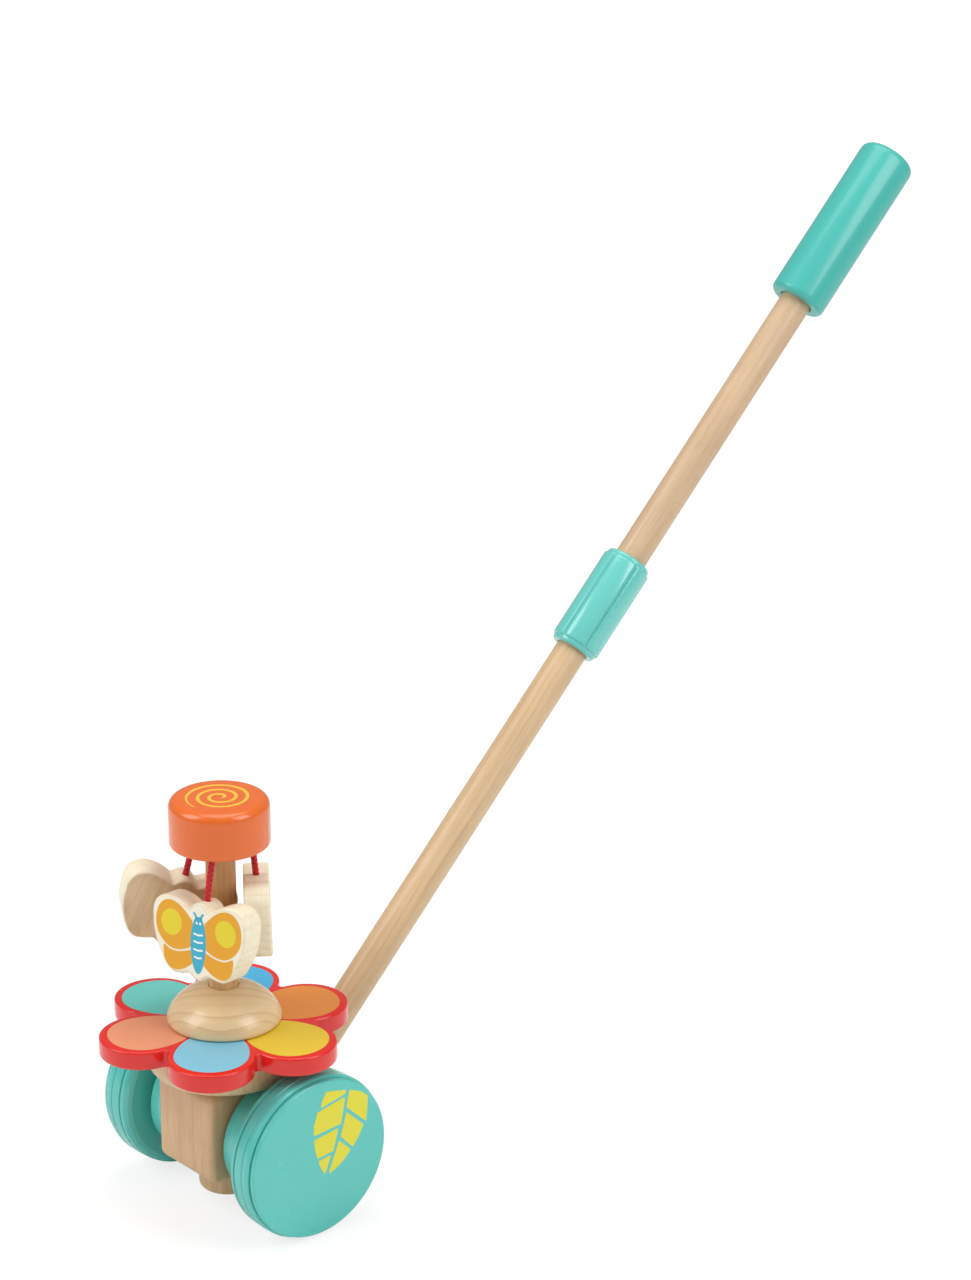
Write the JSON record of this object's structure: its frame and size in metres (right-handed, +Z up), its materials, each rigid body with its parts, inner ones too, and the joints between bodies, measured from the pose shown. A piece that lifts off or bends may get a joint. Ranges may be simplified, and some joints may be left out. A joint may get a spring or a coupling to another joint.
{
  "type": "push-along stick toy",
  "caption": "Wooden push-along stick toy: rolling wheels turn a flower carousel by friction, and butterflies hang from its knob on cords.",
  "frame": {"origin": "on the ground, under the middle of the toy's length and width", "axes": "+X along the axle to the driving wheel, -Y the way the toy is pushed, +Y to the side the stick leans to, +Z up"},
  "size_m": [0.1112, 0.463, 0.4156],
  "materials": {
    "painted_teal_wood": "satin teal paint",
    "painted_orange_wood": "satin orange paint",
    "painted_red_plywood": "satin red paint with painted petals",
    "stick_wood": "clear satin lacquer",
    "block_wood": "clear satin lacquer",
    "pale_wood": "sanded, clear matt lacquer",
    "printed_pale_wood": "sanded, printed on one face",
    "teal_collar": "satin",
    "steel": "plain",
    "washer_nylon": "natural",
    "red_cord": "braided polyester"
  },
  "bodies": {
    "base": {"axle_block": "block_wood", "thrust_washer": "washer_nylon", "lower_rod": "stick_wood", "rod_collar": "teal_collar", "rod_screw": "steel"},
    "wheelset": {"axle": "steel", "axle_washer_left": "washer_nylon", "axle_washer_right": "washer_nylon", "hub_left": "painted_teal_wood", "hub_right": "painted_teal_wood", "wheel_left": "painted_teal_wood", "wheel_right": "painted_teal_wood", "wheel_cover_left": "painted_teal_wood", "wheel_cover_right": "painted_teal_wood"},
    "carousel": {"bottom_cap": "pale_wood", "pivot_pin": "steel", "friction_disc": "pale_wood", "flower_plate": "painted_red_plywood", "dome": "stick_wood", "post": "stick_wood", "knob": "painted_orange_wood"},
    "hanger_1": {"cord_1": "red_cord"},
    "butterfly_1_body": {"butterfly_1": "printed_pale_wood"},
    "hanger_2": {"cord_2": "red_cord"},
    "butterfly_2_body": {"butterfly_2": "printed_pale_wood"},
    "hanger_3": {"cord_3": "red_cord"},
    "butterfly_3_body": {"butterfly_3": "printed_pale_wood"},
    "handle": {"upper_rod": "stick_wood", "hand_grip": "painted_teal_wood"}
  },
  "joints": [
    {"name": "axle_roll", "type": "hinge", "parent": "base", "child": "wheelset", "pos_m": [0, -0.16725, 0.03755], "axis": [1, 0, 0], "continuous": true},
    {"name": "carousel_spin", "type": "hinge", "parent": "base", "child": "carousel", "pos_m": [0, -0.17625, 0.0723], "axis": [0, 0, 1], "continuous": true},
    {"name": "butterfly_1_swing", "type": "hinge", "parent": "carousel", "child": "hanger_1", "pos_m": [0.00922, -0.18704, 0.1712], "axis": [-0.7604, -0.6494, 0], "range_deg": [-1, 35]},
    {"name": "butterfly_1_twist", "type": "hinge", "parent": "hanger_1", "child": "butterfly_1_body", "pos_m": [0.00982, -0.19105, 0.15131], "axis": [-0.0296, 0.1973, 0.9799], "range_deg": [-12, 1]},
    {"name": "butterfly_2_swing", "type": "hinge", "parent": "carousel", "child": "hanger_2", "pos_m": [0.00474, -0.16286, 0.1712], "axis": [0.9426, -0.3338, 0], "range_deg": [-1, 35]},
    {"name": "butterfly_2_twist", "type": "hinge", "parent": "hanger_2", "child": "butterfly_2_body", "pos_m": [0.00509, -0.16118, 0.15328], "axis": [-0.0195, -0.0934, 0.9954], "range_deg": [-1, 8]},
    {"name": "butterfly_3_swing", "type": "hinge", "parent": "carousel", "child": "hanger_3", "pos_m": [-0.01396, -0.17883, 0.1712], "axis": [-0.1822, 0.9833, 0], "range_deg": [-2, 28]},
    {"name": "butterfly_3_twist", "type": "hinge", "parent": "hanger_3", "child": "butterfly_3_body", "pos_m": [-0.01879, -0.18111, 0.15125], "axis": [0.2338, 0.1104, 0.966], "range_deg": [-6, 16]},
    {"name": "handle_pull", "type": "slide", "parent": "base", "child": "handle", "axis": [0, 0.7062, 0.708], "range_m": [0, 0.022]}
  ],
  "couplings": [
    {"joint": "carousel_spin", "follows": "axle_roll", "ratio": -1.0167}
  ]
}
